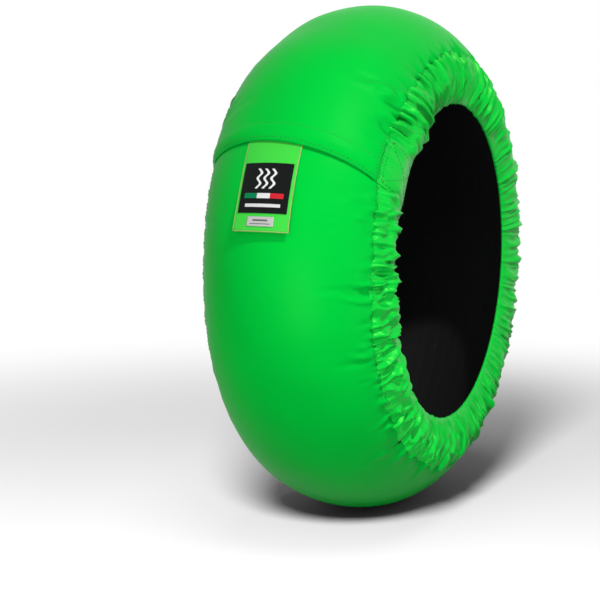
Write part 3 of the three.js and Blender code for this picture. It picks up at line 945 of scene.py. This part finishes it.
class OBJECT_OT_warmer_fittings(WarmerStep):
    """Gives the gland, its plate and rivets, and the heating circuit their finishes"""
    bl_idname = "object.warmer_fittings"
    bl_label = "Gland and Heating Circuit"

    def execute(self, context):
        rubber = moulded("GlandRubber", (0.018, 0.018, 0.019), 0.6)
        steel = moulded("RivetSteel", (0.56, 0.57, 0.58), 0.32, 1.0, 700.0)
        sleeve = moulded("SiliconeSleeve", (0.47, 0.10, 0.025), 0.5)
        for node, finish in (
                ("lead_gland", rubber), ("gland_backing_plate", rubber), ("thermostat", rubber),
                ("gland_rivet_1", steel), ("gland_rivet_2", steel), ("wire_splice_1", steel),
                ("wire_splice_2", steel), ("heating_wire_in", sleeve), ("heating_wire_out", sleeve)):
            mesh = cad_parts[node].data
            mesh.materials.clear()
            mesh.materials.append(finish)
        return {"FINISHED"}


class OBJECT_OT_warmer_stage(WarmerStep):
    """Adds the floor, the lamps, the pale surroundings and the camera"""
    bl_idname = "object.warmer_stage"
    bl_label = "Studio"

    def lamp(self, name, place, size, power, floor, on_floor=False):
        """A round lamp that lights either the floor alone or all but the floor."""
        light = bpy.data.lights.new(name, "AREA")
        light.shape = "DISK"
        light.size = size
        light.energy = power
        made = bpy.data.objects.new(name, light)
        made.location = place
        made.rotation_mode = "QUATERNION"
        made.rotation_quaternion = (-Vector(place)).to_track_quat("-Z", "Y")
        bpy.context.scene.collection.objects.link(made)
        lit = bpy.data.collections.new(name + "Receivers")
        lit.objects.link(floor)
        lit.collection_objects[0].light_linking.link_state = "INCLUDE" if on_floor else "EXCLUDE"
        made.light_linking.receiver_collection = lit

    def pale_floor(self):
        """A white floor that keeps the shadow near the cover and joins the white surroundings."""
        finish = Finish(
            "PaleFloor", Roughness=0.9, Base_Color=(0.95, 0.95, 0.95, 1.0), Specular_IOR_Level=0.0)
        white = finish.node("ShaderNodeEmission", {}, {"Color": WHITE, "Strength": 1.0})
        place = finish.object_place()
        distance = finish.node("ShaderNodeVectorMath", {"operation": "LENGTH"}, {0: place}, 1)
        far = finish.node(
            "ShaderNodeMapRange", {"interpolation_type": "SMOOTHSTEP"},
            {"Value": distance, "From Min": SHADOW_ENDS, "From Max": FLOOR_ENDS})
        camera = finish.node("ShaderNodeLightPath", output="Is Camera Ray")
        glossy = Socket(finish, camera.link.node.outputs["Is Glossy Ray"])
        through = Socket(finish, camera.link.node.outputs["Is Transmission Ray"])
        seen = camera + glossy + through
        both = finish.node("ShaderNodeMixShader", {}, {0: far * seen, 1: finish.shader_socket(), 2: white})
        finish.tree.links.new(both.link, finish.tree.nodes["Material Output"].inputs["Surface"])
        return finish.material

    def execute(self, context):
        scene = context.scene
        scene.view_settings.view_transform = "Standard"
        scene.cycles.diffuse_bounces = 0
        shape = bmesh.new()
        bmesh.ops.create_grid(shape, x_segments=1, y_segments=1, size=30.0)
        bmesh.ops.translate(shape, vec=(0.0, 0.0, -sizes().radius - FLOOR_GAP), verts=shape.verts)
        mesh = bpy.data.meshes.new("studio_floor")
        shape.to_mesh(mesh)
        shape.free()
        mesh.materials.append(self.pale_floor())
        floor = bpy.data.objects.new("studio_floor", mesh)
        scene.collection.objects.link(floor)

        world = bpy.data.worlds.new("Studio")
        scene.world = world
        world.use_nodes = True
        tree = world.node_tree
        background = tree.nodes["Background"]
        rays = tree.nodes.new("ShaderNodeLightPath")
        level = tree.nodes.new("ShaderNodeMapRange")
        level.inputs["To Min"].default_value = FILL_LIGHT
        level.inputs["To Max"].default_value = 1.0
        seen = rays.outputs["Is Camera Ray"]
        for kind in ("Is Glossy Ray", "Is Transmission Ray"):
            either = tree.nodes.new("ShaderNodeMath")
            either.operation = "MAXIMUM"
            tree.links.new(seen, either.inputs[0])
            tree.links.new(rays.outputs[kind], either.inputs[1])
            seen = either.outputs[0]
        tree.links.new(seen, level.inputs["Value"])
        tree.links.new(level.outputs[0], background.inputs["Strength"])
        background.inputs["Color"].default_value = WHITE

        self.lamp("KeyLamp", (-1.15, -1.65, 2.75), 0.25, 78.0, floor)
        self.lamp("LeftLamp", (-1.9, 1.2, 1.6), 0.9, 7.0, floor)
        self.lamp("LowLamp", (-1.5, -0.3, -0.28), 0.3, 14.5, floor)
        self.lamp("LowSideLamp", (-0.5, -1.7, -0.28), 0.3, 7.0, floor)
        self.lamp("FloorLamp", (-2.5, -0.6, 1.7), 0.9, 125.0, floor, True)
        self.lamp("OverheadFloorLamp", (-0.4, -0.2, 2.6), 1.2, 12.0, floor, True)

        turn, rise = math.radians(CAMERA_BEARING), math.radians(CAMERA_RISE)
        back = Vector((math.sin(turn) * math.cos(rise), -math.cos(turn) * math.cos(rise), math.sin(rise)))
        right = Vector((math.cos(turn), math.sin(turn), 0.0))
        camera = bpy.data.objects.new("Camera", bpy.data.cameras.new("Camera"))
        camera.data.lens = CAMERA_LENS
        camera.location = back * CAMERA_DISTANCE + right * CAMERA_SIDE + back.cross(right) * CAMERA_LIFT
        camera.rotation_mode = "QUATERNION"
        camera.rotation_quaternion = (-back).to_track_quat("-Z", "Y")
        scene.collection.objects.link(camera)
        scene.camera = camera
        return {"FINISHED"}


STEPS = (
    OBJECT_OT_warmer_stage, OBJECT_OT_warmer_band, OBJECT_OT_warmer_curtains, OBJECT_OT_warmer_inside,
    OBJECT_OT_warmer_label, OBJECT_OT_warmer_stitching, OBJECT_OT_warmer_fittings,
)


class VIEW3D_PT_warmer(bpy.types.Panel):
    """Lists the sizes, the colours and the steps of the tyre warmer."""
    bl_idname = "VIEW3D_PT_warmer"
    bl_label = "Tyre Warmer"
    bl_space_type = "VIEW_3D"
    bl_region_type = "UI"
    bl_category = "Tyre Warmer"

    def draw(self, context):
        for group in (context.scene.warmer_sizes, context.scene.warmer_colours):
            for name in group.__annotations__:
                self.layout.prop(group, name)
        for step in STEPS:
            self.layout.operator(step.bl_idname)


CLASSES = (WarmerSizes, WarmerColours, *STEPS, VIEW3D_PT_warmer)


def register():
    for item in CLASSES:
        bpy.utils.register_class(item)
    bpy.types.Scene.warmer_sizes = PointerProperty(type=WarmerSizes)
    bpy.types.Scene.warmer_colours = PointerProperty(type=WarmerColours)


def unregister():
    del bpy.types.Scene.warmer_colours
    del bpy.types.Scene.warmer_sizes
    for item in reversed(CLASSES):
        bpy.utils.unregister_class(item)


def main():
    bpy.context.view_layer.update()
    register()
    for step in STEPS:
        group, name = step.bl_idname.split(".")
        getattr(getattr(bpy.ops, group), name)()


if __name__ == "__main__":
    main()
